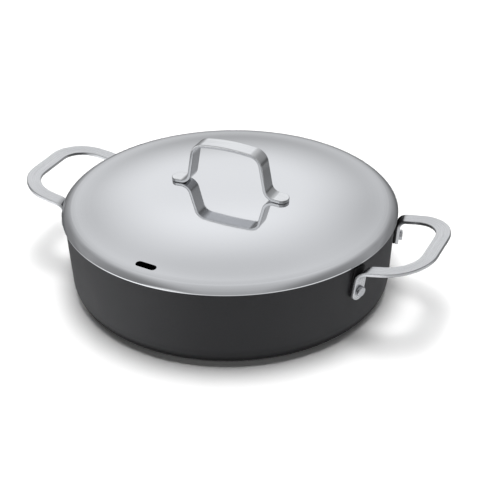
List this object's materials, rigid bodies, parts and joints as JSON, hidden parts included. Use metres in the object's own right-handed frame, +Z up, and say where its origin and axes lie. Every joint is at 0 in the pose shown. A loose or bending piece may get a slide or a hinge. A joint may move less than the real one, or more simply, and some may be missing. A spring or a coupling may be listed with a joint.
{
  "type": "saute pan",
  "caption": "Low straight-sided saute pan with looped strap handles riveted to its wall and a domed steel lid that lifts off by an arched strap handle.",
  "frame": {"origin": "centre of the base, on the surface the pan stands on", "axes": "+X through the middle of the right side handle, +Z up along the pan's axis, the lid's vent slot on the -Y side"},
  "size_m": [0.3832, 0.29, 0.1308],
  "materials": {
    "coated_aluminium": "dark grey hard coating, satin",
    "brushed_steel": "satin, brushed along the strap",
    "polished_steel": "mirror polished stainless steel",
    "black_silicone": "matte black"
  },
  "bodies": {
    "pan": {"pan_body": "coated_aluminium", "induction_plate": "brushed_steel", "side_handle_right": "brushed_steel", "side_handle_left": "brushed_steel", "heat_spacer_right_front": "black_silicone", "heat_spacer_right_back": "black_silicone", "heat_spacer_left_front": "black_silicone", "heat_spacer_left_back": "black_silicone", "rivet_right_front": "brushed_steel", "rivet_right_back": "brushed_steel", "rivet_left_front": "brushed_steel", "rivet_left_back": "brushed_steel"},
    "lid": {"lid_shell": "polished_steel", "lid_handle": "brushed_steel"}
  },
  "joints": [
    {"name": "lid_lift", "type": "slide", "parent": "pan", "child": "lid", "axis": [0, 0, 1], "range_m": [0, 0.12]}
  ]
}
